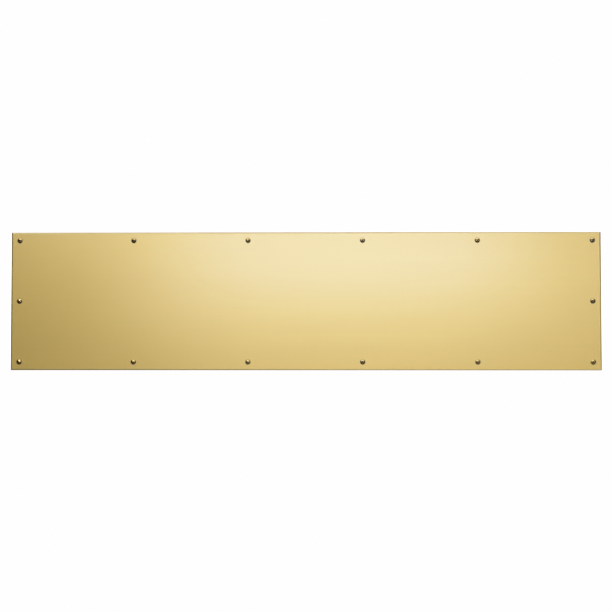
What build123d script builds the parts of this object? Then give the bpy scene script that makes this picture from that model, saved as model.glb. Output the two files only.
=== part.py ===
from build123d import *
import os
from math import cos, radians, sin, tan

# A brass kick plate for a 36 in door, with its fourteen oval-head wood screws, in millimetres.
# The plate's back lies in the plane y = 0, where it meets the door, and its centre is the origin.
# The front faces -Y, width runs along X and height along Z.

INCH = 25.4

# Plate
PLATE_WIDTH = 34 * INCH
PLATE_HEIGHT = 8 * INCH
PLATE_THICKNESS = 0.050 * INCH
BEVEL_WIDTH = 2.4
BEVEL_DEPTH = 0.8
CORNER_RADIUS = 0.8

# Screw holes: two rows of equally spaced holes, and one hole at mid height at each end
HOLE_EDGE_DISTANCE = 0.5 * INCH
HOLES_PER_ROW = 6
COUNTERSINK_HALF_ANGLE = 82 / 2
SEAT_CLEARANCE = 0.07
THROUGH_HOLE_RADIUS = 2.7

# No. 6 x 5/8 in oval-head screw
HEAD_RADIUS = 3.55
RIM_HEIGHT = 0.12
RIM_ROUNDING = 0.08
DOME_HEIGHT = 1.05
SHANK_RADIUS = 1.75
SCREW_LENGTH = 0.625 * INCH
SMOOTH_LENGTH = 5.6
POINT_LENGTH = 3.2
POINT_END_RADIUS = 0.12

# Screw thread
THREAD_PITCH = INCH / 18
ROOT_RADIUS = 1.2
CREST_HALF_TURN = 10
FOOT_RADIUS = 1.05
FOOT_HALF_TURN = 70
RUN_OUT_LENGTH = 0.5

# Cross recess for a No. 2 driver
RECESS_TOP_RADIUS = 2.15
RECESS_BOTTOM_RADIUS = 0.8
RECESS_DEPTH = 2.1
RECESS_POINT_DEPTH = 0.35
WING_WIDTH = 0.9
RECESS_CORE_RADIUS = 0.95
TURN_STEP = 137.5

FACE_HEIGHT = RIM_HEIGHT + DOME_HEIGHT


def turned_solid(points):
    """The solid that a closed outline of (radius, height) points makes when turned about Z."""
    outline = Plane.XZ * Polyline(*points, close=True)
    return revolve(make_face(outline), Axis.Z)


def facing_front(x, z, turn=0):
    """Stands a piece made along Z on the plate's face at (x, z), with its top towards -Y."""
    return Pos(x, -PLATE_THICKNESS, z) * Rot(90, 0, 0) * Rot(0, 0, turn)


def hole_places():
    """Each screw's name and the place (x, z) of its hole."""
    end_x = PLATE_WIDTH / 2 - HOLE_EDGE_DISTANCE
    row_z = PLATE_HEIGHT / 2 - HOLE_EDGE_DISTANCE
    spacing = 2 * end_x / (HOLES_PER_ROW - 1)
    places = {}
    for number in range(HOLES_PER_ROW):
        x = -end_x + number * spacing
        places[f"screw_top_{number + 1}"] = (x, row_z)
        places[f"screw_bottom_{number + 1}"] = (x, -row_z)
    places["screw_left"] = (-end_x, 0)
    places["screw_right"] = (end_x, 0)
    return places


def countersink():
    """The space that a screw hole takes out of the plate: a cone and a short straight hole."""
    mouth_radius = HEAD_RADIUS + SEAT_CLEARANCE
    slope = tan(radians(COUNTERSINK_HALF_ANGLE))
    cone_depth = (mouth_radius - THROUGH_HOLE_RADIUS) / slope
    past_face = 1.0
    return turned_solid([
        (0, past_face),
        (mouth_radius + past_face * slope, past_face),
        (THROUGH_HOLE_RADIUS, -cone_depth),
        (THROUGH_HOLE_RADIUS, -PLATE_THICKNESS - past_face),
        (0, -PLATE_THICKNESS - past_face),
    ])


def make_plate(places):
    """The flat sheet: eased corners, four bevelled front edges and the countersunk holes."""
    sheet = extrude(Plane.XZ * Rectangle(PLATE_WIDTH, PLATE_HEIGHT), PLATE_THICKNESS)
    front = sheet.faces().sort_by(Axis.Y)[0]
    sheet = chamfer(front.edges(), BEVEL_WIDTH, BEVEL_DEPTH, reference=front)
    eased_outline = RectangleRounded(PLATE_WIDTH, PLATE_HEIGHT, CORNER_RADIUS)
    sheet &= extrude(Plane.XZ * eased_outline, PLATE_THICKNESS)
    cutter = countersink()
    return sheet - [facing_front(x, z) * cutter for x, z in places.values()]


def head_and_shank():
    """The domed head, its 82 degree cone and the smooth shank down to the thread."""
    cone_height = (HEAD_RADIUS - SHANK_RADIUS) / tan(radians(COUNTERSINK_HALF_ANGLE))
    dome_radius = (HEAD_RADIUS**2 + DOME_HEIGHT**2) / (2 * DOME_HEIGHT)
    dome = RadiusArc((0, FACE_HEIGHT), (HEAD_RADIUS, RIM_HEIGHT), dome_radius)
    rest = Polyline(
        (HEAD_RADIUS, RIM_HEIGHT),
        (HEAD_RADIUS, 0),
        (SHANK_RADIUS, -cone_height),
        (SHANK_RADIUS, -SMOOTH_LENGTH),
        (ROOT_RADIUS, -SMOOTH_LENGTH - RUN_OUT_LENGTH),
        (0, -SMOOTH_LENGTH - RUN_OUT_LENGTH),
        (0, FACE_HEIGHT),
    )
    body = revolve(make_face(Plane.XZ * (dome + rest)), Axis.Z)
    rim = body.edges().filter_by_position(Axis.Z, 0.9 * RIM_HEIGHT, 1.1 * RIM_HEIGHT)
    return fillet(rim, RIM_ROUNDING)


def on_circle(radius, angle):
    """The point at a radius and an angle in degrees about the screw's axis."""
    return (radius * cos(radians(angle)), radius * sin(radians(angle)))


def thread():
    """The threaded length: a core with a ridge that goes round it once a pitch, cut to a point."""
    crest_x, crest_y = on_circle(SHANK_RADIUS, CREST_HALF_TURN)
    foot_x, foot_y = on_circle(FOOT_RADIUS, FOOT_HALF_TURN)
    flanks = Polyline(
        (-crest_x, crest_y), (-foot_x, foot_y), (-foot_x, -foot_y), (-crest_x, -crest_y)
    )
    crest = ThreePointArc((-crest_x, -crest_y), (-SHANK_RADIUS, 0), (-crest_x, crest_y))
    start = Vector(0, 0, -SMOOTH_LENGTH)
    length = SCREW_LENGTH - SMOOTH_LENGTH
    turns = length / THREAD_PITCH
    outline = make_face(flanks + crest).face().outer_wire().moved(Location(start))
    ridge = Solid.extrude_linear_with_rotation(outline, start, (0, 0, -length), 360 * turns)
    core = Pos(0, 0, -SMOOTH_LENGTH - length / 2) * Cylinder(ROOT_RADIUS, length)
    return (core + ridge) & point_envelope()


def point_envelope():
    """A turned blank that is wider than the thread and tapers to just past the screw's end."""
    blank_radius = SHANK_RADIUS * 1.3
    taper = (SHANK_RADIUS - POINT_END_RADIUS) / POINT_LENGTH
    apex = SCREW_LENGTH + POINT_END_RADIUS / taper
    return turned_solid([
        (0, 0),
        (blank_radius, 0),
        (blank_radius, -apex + blank_radius / taper),
        (0, -apex),
    ])


def recess():
    """The cross recess: two wings whose ends slope in, a round core and a point below."""
    top = FACE_HEIGHT
    bottom = FACE_HEIGHT - RECESS_DEPTH
    wing = Box(2 * RECESS_TOP_RADIUS, WING_WIDTH, RECESS_DEPTH)
    cross = Pos(0, 0, (top + bottom) / 2) * (wing + Rot(0, 0, 90) * wing)
    slopes = turned_solid([
        (0, top),
        (RECESS_TOP_RADIUS, top),
        (RECESS_BOTTOM_RADIUS, bottom),
        (0, bottom),
    ])
    core = turned_solid([
        (0, top),
        (RECESS_CORE_RADIUS, top),
        (WING_WIDTH / 2, bottom),
        (0, bottom - RECESS_POINT_DEPTH),
    ])
    return (cross & slopes) + core


def make_screw():
    """One whole screw, along Z with its head up and the plate's face at z = 0."""
    return head_and_shank() + thread() - recess()


def main():
    places = hole_places()
    screw = make_screw()
    nodes = {"plate": make_plate(places)}
    for number, (name, (x, z)) in enumerate(places.items()):
        nodes[name] = facing_front(x, z, TURN_STEP * number) * screw
    os.makedirs("parts", exist_ok=True)
    for name, piece in nodes.items():
        export_step(piece, f"parts/{name}.step")


main()
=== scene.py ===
from math import cos, pi, radians, sin

import bpy
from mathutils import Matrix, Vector


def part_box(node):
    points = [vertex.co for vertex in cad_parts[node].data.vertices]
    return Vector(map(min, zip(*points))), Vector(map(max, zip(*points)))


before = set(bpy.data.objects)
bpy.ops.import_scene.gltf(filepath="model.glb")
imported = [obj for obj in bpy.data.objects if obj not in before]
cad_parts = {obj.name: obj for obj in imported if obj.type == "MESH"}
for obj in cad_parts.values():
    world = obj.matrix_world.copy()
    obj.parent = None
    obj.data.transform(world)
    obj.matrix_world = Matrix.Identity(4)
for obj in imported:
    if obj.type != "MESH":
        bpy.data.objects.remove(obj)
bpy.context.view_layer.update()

# A satin brass kick plate and its polished screws, seen from the front against white.
# Lengths are in metres, and directions are the frame's: the plate's front faces -Y.

PLATE_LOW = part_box("plate")[0]
SCREWS = sorted(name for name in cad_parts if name.startswith("screw_"))
SCREW_LOW, SCREW_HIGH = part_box("screw_top_1")
HEAD_RADIUS = (SCREW_HIGH.x - SCREW_LOW.x) / 2
ROW_HEIGHT = (SCREW_HIGH.z + SCREW_LOW.z) / 2
SCREW_SPACING = (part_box("screw_top_2")[0] - SCREW_LOW).x
FIRST_SCREW_X = (SCREW_HIGH.x + SCREW_LOW.x) / 2

# Camera: angles in degrees, lens and sensor in millimetres
CAMERA_AZIMUTH = 0.7
CAMERA_ELEVATION = -1.8
CAMERA_DISTANCE = 1.5
CAMERA_LENS = 60.32
CAMERA_SENSOR = 36.0
AIM = Vector((0.0011, 0.0, -0.0071))

# Softboxes: name, centre, width, height and radiance
SOFTBOXES = (
    ("key", (0.12, -1.6, 0.21), 1.20, 0.30, 4.97),
    ("fill_left", (-0.76, -1.6, 0.67), 0.38, 0.46, 5.20),
    ("fill_right", (1.30, -1.6, 0.27), 0.49, 0.49, 3.15),
)

# Floor and room: what the camera sees, and the dimmer glows that only reflections see
FLOOR_DROP = 0.08
FLOOR_SIZE = 14.0
BACKDROP_STRENGTH = 2.0
FLOOR_GLOW_LEFT = 0.15
FLOOR_GLOW_RIGHT = 0.32
NEAR_GLOW_LEFT = 0.20
NEAR_GLOW_RIGHT = 0.60
ROOM_GLOW_LEFT = 0.06
ROOM_GLOW_RIGHT = 0.08
OVERHEAD_GLOW = 1.65
ROOM_GLOW_BEHIND = 1.0

# Film: pairs of scene light and the light it is shown as
FILM_WHITE = 1.6
FILM_BLUE = ((0.1, 0.1), (0.2, 0.2), (0.3, 0.305), (0.4, 0.465), (0.6, 0.69), (1.0, 1.07))
FILM_SHOULDER = ((0.3, 0.3), (0.6, 0.6), (0.75, 0.74), (0.85, 0.815), (0.95, 0.87), (1.1, 0.93),
                 (1.3, 0.985), (1.5, 1.0))

# Colours, as linear red, green and blue
WHITE = (1.0, 1.0, 1.0)
FRONT_BRASS = (0.85, 0.61, 0.14)
FRONT_SHADES = (0.97, 1.03)
BARE_BRASS = (0.84, 0.68, 0.27)
TARNISHED_BRASS = (0.72, 0.57, 0.21)
# The residue colour also paints contact shade in a ring around each screw head
RESIDUE_AND_SHADE = (0.12, 0.065, 0.008)
SCREW_BRASS = (0.88, 0.66, 0.27)
# The dark screw colour is painted shade for their recess and lower rim
SCREW_PAINTED_SHADE = (0.030, 0.013, 0.001)
THREAD_BRASS = (0.66, 0.50, 0.22)

# Lengths of the marks in the metal along X, Y and Z
GRAIN = (0.030, 0.0003, 0.0003)
BANDS = (0.40, 0.0045, 0.0045)
CLOUDS = (0.22, 0.07, 0.07)
TARNISH = (0.16, 0.05, 0.05)
SCREW_SCRATCHES = (0.004, 0.0002, 0.0002)
# The screw mottle only varies how dark the screws' painted shade is
SCREW_SHADE_MOTTLE = (0.002, 0.002, 0.002)
BUMP_HEIGHT = 0.0001

# Gloss: least and most roughness, and the clear coat
FRONT_ROUGHNESS = (0.48, 0.56)
BARE_ROUGHNESS = (0.52, 0.66)
SCREW_ROUGHNESS = (0.13, 0.19)
RECESS_ROUGHNESS = 0.45
THREAD_ROUGHNESS = 0.18
COAT_ROUGHNESS = 0.309
COAT_IOR = 2.13

# Residue and painted contact shade: how far the dark ring reaches past a head, and how much of it
# there is
RESIDUE_AND_SHADE_REACH = 1.3
RESIDUE_AND_SHADE_AMOUNT = 0.75


class Nodes:
    """A short way to add shader nodes to a tree and link them."""

    def __init__(self, tree):
        self.tree = tree
        tree.nodes.clear()

    def add(self, kind, links=(), **values):
        """Adds a node. Values are sockets or properties by name; links go in by socket name."""
        node = self.tree.nodes.new("ShaderNode" + kind)
        for name, value in values.items():
            socket = name.replace("_", " ")
            if socket in node.inputs:
                node.inputs[socket].default_value = value
            else:
                setattr(node, name, value)
        for name, output in dict(links).items():
            self.tree.links.new(output, node.inputs[name])
        return node

    def math(self, operation, first, second=0.0, third=0.0):
        """One math node. Each operand is a number or another node's output."""
        node = self.add("Math", operation=operation)
        for place, operand in enumerate((first, second, third)):
            if isinstance(operand, (int, float)):
                node.inputs[place].default_value = operand
            else:
                self.tree.links.new(operand, node.inputs[place])
        return node.outputs[0]

    def in_range(self, value, start, end, low=0.0, high=1.0):
        """Maps a value from start..end to low..high, held at the ends."""
        node = self.add("MapRange", {"Value": value}, From_Min=start, From_Max=end,
                        To_Min=low, To_Max=high)
        return node.outputs["Result"]

    def colour_mix(self, factor, low, high):
        """The colour that goes from low to high as the factor goes from 0 to 1."""
        node = self.add("Mix", data_type="RGBA")
        self.tree.links.new(factor, node.inputs[0])
        for socket, colour in ((node.inputs[6], low), (node.inputs[7], high)):
            if isinstance(colour, tuple):
                socket.default_value = (*colour, 1)
            else:
                self.tree.links.new(colour, socket)
        return node.outputs[2]

    def streaks(self, place, lengths, detail=2.0, distortion=0.0):
        """Noise whose features have the given lengths along X, Y and Z, from 0 to 1."""
        scale = tuple(1 / length for length in lengths)
        stretched = self.add("Mapping", {"Vector": place}, Scale=scale).outputs["Vector"]
        noise = self.add("TexNoise", {"Vector": stretched}, Scale=1.0, Detail=detail,
                         Distortion=distortion)
        return noise.outputs["Fac"]


def tinted(colour, factor):
    """A colour made lighter or darker."""
    return tuple(min(1.0, part * factor) for part in colour)


def new_material(name):
    """A material with an empty node tree, and the tree's node maker."""
    material = bpy.data.materials.new(name)
    material.use_nodes = True
    return material, Nodes(material.node_tree)


def add_metal(nodes, colour, rough, bump):
    """Ends a material with a metal shader, which it gives back."""
    shader = nodes.add("BsdfPrincipled", {"Base Color": colour, "Roughness": rough,
                                          "Normal": bump.outputs["Normal"]}, Metallic=1.0)
    nodes.add("OutputMaterial", {"Surface": shader.outputs["BSDF"]})
    return shader


def screw_residue_and_shade(nodes, place):
    """How much dark residue and painted contact shade lies on the plate, from 0 to 1: most where
    it meets a head.
    """
    residue_and_shade = nodes.in_range(screw_axis_distance(nodes, place), HEAD_RADIUS,
                             RESIDUE_AND_SHADE_REACH * HEAD_RADIUS, RESIDUE_AND_SHADE_AMOUNT, 0.0)
    in_row = nodes.in_range(nodes.math("ABSOLUTE", place.outputs["Z"]),
                            0.4 * ROW_HEIGHT, 0.5 * ROW_HEIGHT)
    at_end = nodes.in_range(nodes.math("ABSOLUTE", place.outputs["X"]),
                            -0.8 * FIRST_SCREW_X, -0.9 * FIRST_SCREW_X)
    return nodes.math("MULTIPLY", residue_and_shade, nodes.math("MAXIMUM", in_row, at_end))


def satin_brass():
    """Satin brass under clear lacquer: brushed along its width, with bare edges and back."""
    material, nodes = new_material("satin_brass")
    place = nodes.add("TexCoord").outputs["Object"]
    normal = nodes.add("SeparateXYZ", {"Vector": nodes.add("NewGeometry").outputs["True Normal"]})
    facing = nodes.math("MULTIPLY", normal.outputs["Y"], -1.0)
    bare = nodes.in_range(facing, 0.98, 0.95)
    back = nodes.in_range(facing, -0.9, -0.95)

    grain = nodes.streaks(place, GRAIN, detail=3.0)
    bands = nodes.streaks(place, BANDS)
    clouds = nodes.streaks(place, CLOUDS)
    tone = nodes.math("MULTIPLY_ADD", grain, 0.3, nodes.math("MULTIPLY", bands, 0.4))
    tone = nodes.math("MULTIPLY_ADD", clouds, 0.3, tone)
    dark, light = (tinted(FRONT_BRASS, shade) for shade in FRONT_SHADES)
    front_colour = nodes.colour_mix(nodes.in_range(tone, 0.35, 0.65), dark, light)
    tarnish = nodes.in_range(nodes.streaks(place, TARNISH, 6.0, 0.2), 0.35, 0.75)
    bare_colour = nodes.colour_mix(tarnish, BARE_BRASS, TARNISHED_BRASS)
    colour = nodes.colour_mix(bare, front_colour, bare_colour)
    # Painted contact shade: a dark residue ring on the plate around each screw head
    residue_and_shade = screw_residue_and_shade(nodes, nodes.add("SeparateXYZ", {"Vector": place}))
    colour = nodes.colour_mix(residue_and_shade, colour, RESIDUE_AND_SHADE)

    front_rough = nodes.in_range(nodes.math("ADD", grain, bands), 0.7, 1.3, *FRONT_ROUGHNESS)
    bare_rough = nodes.in_range(nodes.math("ADD", grain, tarnish), 0.3, 1.5, *BARE_ROUGHNESS)
    rough = nodes.add("Mix", {"Factor": bare, 2: front_rough, 3: bare_rough}).outputs[0]
    height = nodes.math("MULTIPLY", grain, nodes.in_range(back, 0, 1, 1.0, 1.5))
    bump = nodes.add("Bump", {"Height": height}, Strength=0.10, Distance=BUMP_HEIGHT)

    shader = add_metal(nodes, colour, rough, bump)
    shader.inputs["Coat Weight"].default_value = 1.0
    shader.inputs["Coat Roughness"].default_value = COAT_ROUGHNESS
    shader.inputs["Coat IOR"].default_value = COAT_IOR
    return material


def screw_axis_distance(nodes, place):
    """The distance from the axis of the nearest screw."""
    x = nodes.math("WRAP", nodes.math("SUBTRACT", place.outputs["X"], FIRST_SCREW_X),
                   SCREW_SPACING / 2, -SCREW_SPACING / 2)
    z = nodes.math("WRAP", place.outputs["Z"], ROW_HEIGHT / 2, -ROW_HEIGHT / 2)
    return nodes.math("SQRT", nodes.math("MULTIPLY_ADD", x, x, nodes.math("MULTIPLY", z, z)))


def polished_brass():
    """Polished brass screws: a bright dome, painted shade in the recess and on the lower rim, and
    a dull thread.
    """
    material, nodes = new_material("polished_brass")
    coordinates = nodes.add("TexCoord").outputs["Object"]
    place = nodes.add("SeparateXYZ", {"Vector": coordinates})
    normal = nodes.add("SeparateXYZ", {"Vector": nodes.add("NewGeometry").outputs["Normal"]})
    radius = screw_axis_distance(nodes, place)
    # Painted shade: the dome's outer ring goes dark, most on its lower side
    rim = nodes.math("MULTIPLY", nodes.in_range(radius, 0.40 * HEAD_RADIUS, 0.66 * HEAD_RADIUS),
                     nodes.in_range(normal.outputs["Z"], 0.30, 0.10, 0.1, 1.0))

    # Painted shade in the cross recess and its core
    in_recess = nodes.math("MULTIPLY", nodes.in_range(normal.outputs["Y"], -0.82, -0.70),
                           nodes.in_range(radius, 0.65 * HEAD_RADIUS, 0.60 * HEAD_RADIUS))
    in_core = nodes.in_range(radius, 0.28 * HEAD_RADIUS, 0.25 * HEAD_RADIUS)
    in_recess = nodes.math("MULTIPLY", nodes.math("MAXIMUM", in_recess, in_core),
                           nodes.in_range(place.outputs["Y"], 0.0006, 0.0004))

    scratches = nodes.streaks(coordinates, SCREW_SCRATCHES, distortion=0.8)
    shade_mottle = nodes.streaks(coordinates, SCREW_SHADE_MOTTLE, detail=3.0)
    # The rim and recess painted shade, a little mottled
    painted_shade = nodes.math("MAXIMUM", rim, in_recess)
    painted_shade = nodes.math("MULTIPLY", painted_shade, nodes.in_range(shade_mottle, 0.3, 0.7, 0.8, 1.0))
    thread = nodes.in_range(place.outputs["Y"], 0.0, 0.002)
    colour = nodes.colour_mix(painted_shade, SCREW_BRASS, SCREW_PAINTED_SHADE)
    colour = nodes.colour_mix(thread, colour, THREAD_BRASS)
    rough = nodes.in_range(scratches, 0.3, 0.7, *SCREW_ROUGHNESS)
    rough = nodes.math("MULTIPLY_ADD", in_recess, RECESS_ROUGHNESS, rough)
    rough = nodes.math("MULTIPLY_ADD", thread, THREAD_ROUGHNESS, rough)
    bump = nodes.add("Bump", {"Height": scratches}, Strength=0.06, Distance=BUMP_HEIGHT)
    add_metal(nodes, colour, rough, bump)
    return material


def wear(node, material):
    """Gives a CAD node one material over its whole surface."""
    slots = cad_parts[node].data.materials
    slots.clear()
    slots.append(material)


def seen_or_reflected(nodes, glow):
    """The backdrop's full strength to the camera, and the glow in reflections."""
    seen = nodes.math("MULTIPLY", nodes.add("LightPath").outputs["Is Camera Ray"],
                      BACKDROP_STRENGTH)
    return nodes.math("MAXIMUM", glow, seen)


def add_floor():
    """The pale floor: white to the camera; in reflections, dimmer to the left and far away."""
    half = FLOOR_SIZE / 2
    mesh = bpy.data.meshes.new("floor")
    mesh.from_pydata([(-half, -half, 0), (half, -half, 0), (half, half, 0), (-half, half, 0)],
                     [], [(0, 1, 2, 3)])
    floor = bpy.data.objects.new("floor", mesh)
    floor.location = (0, 0, PLATE_LOW.z - FLOOR_DROP)
    bpy.context.scene.collection.objects.link(floor)
    material, nodes = new_material("floor")
    mesh.materials.append(material)
    place = nodes.add("SeparateXYZ", {"Vector": nodes.add("TexCoord").outputs["Object"]})
    glow = nodes.in_range(place.outputs["X"], -0.5, 0.7, FLOOR_GLOW_LEFT, FLOOR_GLOW_RIGHT)
    near = nodes.in_range(place.outputs["X"], -0.5, 0.1, NEAR_GLOW_LEFT, NEAR_GLOW_RIGHT)
    near = nodes.math("MULTIPLY", near, nodes.in_range(place.outputs["Y"], -0.28, -0.13))
    strength = seen_or_reflected(nodes, nodes.math("MAXIMUM", glow, near))
    light = nodes.add("Emission", {"Strength": strength}, Color=(*WHITE, 1))
    nodes.add("OutputMaterial", {"Surface": light.outputs["Emission"]})


def add_softbox(name, centre, width, height, radiance):
    """A rectangular soft light that faces along +Y."""
    light = bpy.data.lights.new(name, "AREA")
    light.shape = "RECTANGLE"
    light.size = width
    light.size_y = height
    light.energy = radiance * width * height * pi
    lamp = bpy.data.objects.new(name, light)
    lamp.location = centre
    lamp.rotation_euler = (radians(90), 0, 0)
    lamp.visible_camera = False
    bpy.context.scene.collection.objects.link(lamp)


def add_world():
    """White to the camera; in reflections, a dark room that is lit overhead and behind."""
    world = bpy.data.worlds.new("studio")
    bpy.context.scene.world = world
    world.use_nodes = True
    nodes = Nodes(world.node_tree)
    direction = nodes.add("SeparateXYZ", {"Vector": nodes.add("TexCoord").outputs["Generated"]})
    sides = nodes.in_range(direction.outputs["X"], -0.6, 0.6, ROOM_GLOW_LEFT, ROOM_GLOW_RIGHT)
    aside = nodes.math("ABSOLUTE", direction.outputs["X"])
    above = nodes.math("MULTIPLY", nodes.in_range(direction.outputs["Z"], 0.50, 0.60),
                       nodes.in_range(direction.outputs["Z"], 0.90, 0.80))
    above = nodes.math("MULTIPLY", above, nodes.in_range(aside, 0.65, 0.40, 0.0, OVERHEAD_GLOW))
    behind = nodes.in_range(direction.outputs["Y"], 0.0, 0.3, 0.0, ROOM_GLOW_BEHIND)
    room = nodes.math("MAXIMUM", sides, nodes.math("MAXIMUM", above, behind))
    strength = seen_or_reflected(nodes, room)
    light = nodes.add("Background", {"Strength": strength}, Color=(*WHITE, 1))
    nodes.add("OutputWorld", {"Surface": light.outputs["Background"]})


def add_camera():
    """The camera, a little below and to the right of the plate's middle."""
    camera = bpy.data.objects.new("camera", bpy.data.cameras.new("camera"))
    camera.data.lens = CAMERA_LENS
    camera.data.sensor_width = CAMERA_SENSOR
    azimuth, elevation = radians(CAMERA_AZIMUTH), radians(CAMERA_ELEVATION)
    away = Vector((sin(azimuth) * cos(elevation), -cos(azimuth) * cos(elevation), sin(elevation)))
    camera.location = AIM + CAMERA_DISTANCE * away
    camera.rotation_euler = (-away).to_track_quat("-Z", "Y").to_euler()
    bpy.context.scene.collection.objects.link(camera)
    bpy.context.scene.camera = camera


def set_film():
    """Standard colours with a soft shoulder to the highlights, which also go a little paler."""
    view = bpy.context.scene.view_settings
    view.view_transform = "Standard"
    view.use_curve_mapping = True
    mapping = view.curve_mapping
    mapping.white_level = (FILM_WHITE, FILM_WHITE, FILM_WHITE)
    blue, all_colours = mapping.curves[2], mapping.curves[3]
    for light, shown in FILM_BLUE:
        blue.points.new(light / FILM_WHITE, shown / FILM_WHITE)
    for light, shown in FILM_SHOULDER:
        all_colours.points.new(light / FILM_WHITE, shown)
    mapping.update()


def main():
    set_film()
    wear("plate", satin_brass())
    screw_finish = polished_brass()
    for name in SCREWS:
        wear(name, screw_finish)
    add_floor()
    for softbox in SOFTBOXES:
        add_softbox(*softbox)
    add_world()
    add_camera()


main()
